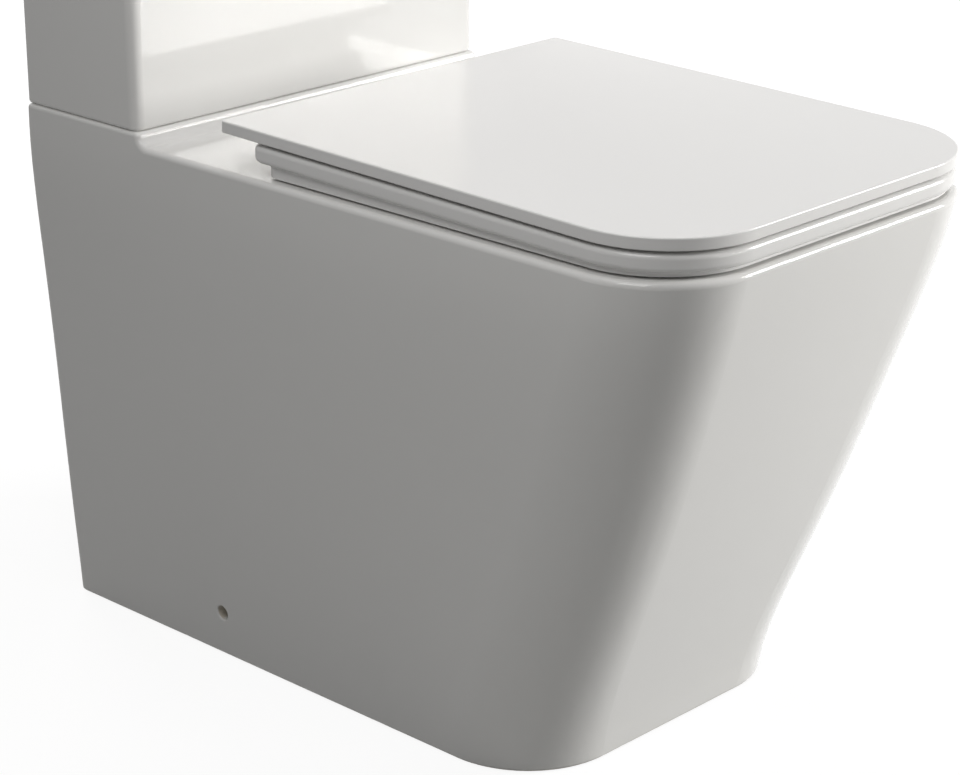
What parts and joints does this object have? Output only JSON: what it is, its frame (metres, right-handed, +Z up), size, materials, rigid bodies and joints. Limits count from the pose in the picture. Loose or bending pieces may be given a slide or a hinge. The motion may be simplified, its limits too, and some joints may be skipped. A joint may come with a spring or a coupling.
{
  "type": "floor-standing toilet",
  "caption": "White close-coupled floor-standing toilet: tapered square pan against the wall, box cistern with push buttons, and slim hinged seat ring and lid.",
  "frame": {"origin": "on the floor, under the middle of the overall box", "axes": "+Z up, -Y towards the front of the bowl, +Y towards the wall, +X to the right seen from the front"},
  "size_m": [0.376, 0.6647, 0.815],
  "materials": {
    "china": "glossy white glaze",
    "seat_plastic": "glossy white thermoset",
    "chrome": "polished",
    "stainless": "brushed",
    "brass": "bare",
    "rubber": "matte black",
    "sponge": "matte closed-cell sponge",
    "soft_pad": "translucent grey",
    "white_plastic": "moulded",
    "grey_plastic": "moulded",
    "blue_plastic": "moulded"
  },
  "bodies": {
    "pan_and_cistern": {"pan": "china", "bowl": "china", "tank": "china", "coupling_gasket": "sponge", "coupling_bolts": "brass", "bolt_rubber_washers": "rubber", "bolt_steel_washers": "stainless", "wing_nuts": "brass", "flush_valve_base": "white_plastic", "flush_valve_seal": "rubber", "flush_valve_nut": "white_plastic", "flush_valve_tower": "white_plastic", "rocker_pins": "stainless", "fill_valve_stem": "white_plastic", "fill_valve_washer": "rubber", "fill_valve_nut": "white_plastic", "fill_valve_head": "white_plastic", "fill_lever_pin": "stainless", "hinge_discs": "chrome", "hinge_posts": "chrome", "ring_pins": "stainless", "hinge_studs": "stainless", "hinge_sleeves": "rubber", "hinge_nuts": "white_plastic"},
    "ring": {"seat_ring": "seat_plastic", "ring_pads": "soft_pad", "ring_hinge_arms": "white_plastic", "lid_pins": "stainless"},
    "lid": {"seat_lid": "seat_plastic", "lid_pads": "soft_pad", "lid_hinge_lugs": "white_plastic"},
    "cover": {"cistern_cover": "china", "button_bezel": "chrome", "button_nut": "white_plastic"},
    "full_button": {"full_flush_button": "chrome", "full_flush_rod": "grey_plastic"},
    "half_button": {"half_flush_button": "chrome", "half_flush_rod": "grey_plastic"},
    "full_rocker": {"full_flush_rocker": "blue_plastic"},
    "half_rocker": {"half_flush_rocker": "blue_plastic"},
    "lift_valve": {"lift_tube": "grey_plastic", "lift_tube_washer": "rubber", "valve_float": "grey_plastic", "lift_stem": "grey_plastic"},
    "half_slider": {"half_flush_slider": "grey_plastic"},
    "float": {"fill_float": "grey_plastic", "float_link": "grey_plastic"},
    "fill_lever": {"fill_lever": "blue_plastic"}
  },
  "joints": [
    {"name": "ring_hinge", "type": "hinge", "parent": "pan_and_cistern", "child": "ring", "pos_m": [0, 0.091, 0.44], "axis": [-1, 0, 0], "range_deg": [0, 97]},
    {"name": "lid_hinge", "type": "hinge", "parent": "ring", "child": "lid", "pos_m": [0, 0.091, 0.44], "axis": [1, 0, 0], "range_deg": [-102, 0]},
    {"name": "cover_lift", "type": "slide", "parent": "pan_and_cistern", "child": "cover", "axis": [0, 0, 1], "range_m": [0, 0.12]},
    {"name": "full_button_press", "type": "slide", "parent": "cover", "child": "full_button", "axis": [0, 0, -1], "range_m": [0, 0.005], "stiffness_N_per_m": 900, "springref_m": -0.002},
    {"name": "half_button_press", "type": "slide", "parent": "cover", "child": "half_button", "axis": [0, 0, -1], "range_m": [0, 0.005], "stiffness_N_per_m": 900, "springref_m": -0.002},
    {"name": "full_rocker_turn", "type": "hinge", "parent": "pan_and_cistern", "child": "full_rocker", "pos_m": [-0.009, 0.2545, 0.649], "axis": [-1, 0, 0], "range_deg": [0, 23.88]},
    {"name": "lift_valve_rise", "type": "slide", "parent": "pan_and_cistern", "child": "lift_valve", "axis": [0, 0, 1], "range_m": [0, 0.00668]},
    {"name": "half_rocker_turn", "type": "hinge", "parent": "pan_and_cistern", "child": "half_rocker", "pos_m": [0.009, 0.2785, 0.649], "axis": [1, 0, 0], "range_deg": [0, 23.88]},
    {"name": "half_slider_rise", "type": "slide", "parent": "pan_and_cistern", "child": "half_slider", "axis": [0, 0, 1], "range_m": [0, 0.00668]},
    {"name": "float_rise", "type": "slide", "parent": "pan_and_cistern", "child": "float", "axis": [0, 0, 1], "range_m": [0, 0.014]},
    {"name": "fill_lever_turn", "type": "hinge", "parent": "pan_and_cistern", "child": "fill_lever", "pos_m": [-0.115, 0.2665, 0.688], "axis": [0, 1, 0], "range_deg": [0, 18.24]}
  ],
  "couplings": [
    {"joint": "full_rocker_turn", "follows": "full_button_press", "rad_per_m": 83.333},
    {"joint": "lift_valve_rise", "follows": "full_button_press", "ratio": 1.3333},
    {"joint": "half_rocker_turn", "follows": "half_button_press", "rad_per_m": 83.333},
    {"joint": "half_slider_rise", "follows": "half_button_press", "ratio": 1.3333},
    {"joint": "fill_lever_turn", "follows": "float_rise", "rad_per_m": 22.727}
  ]
}
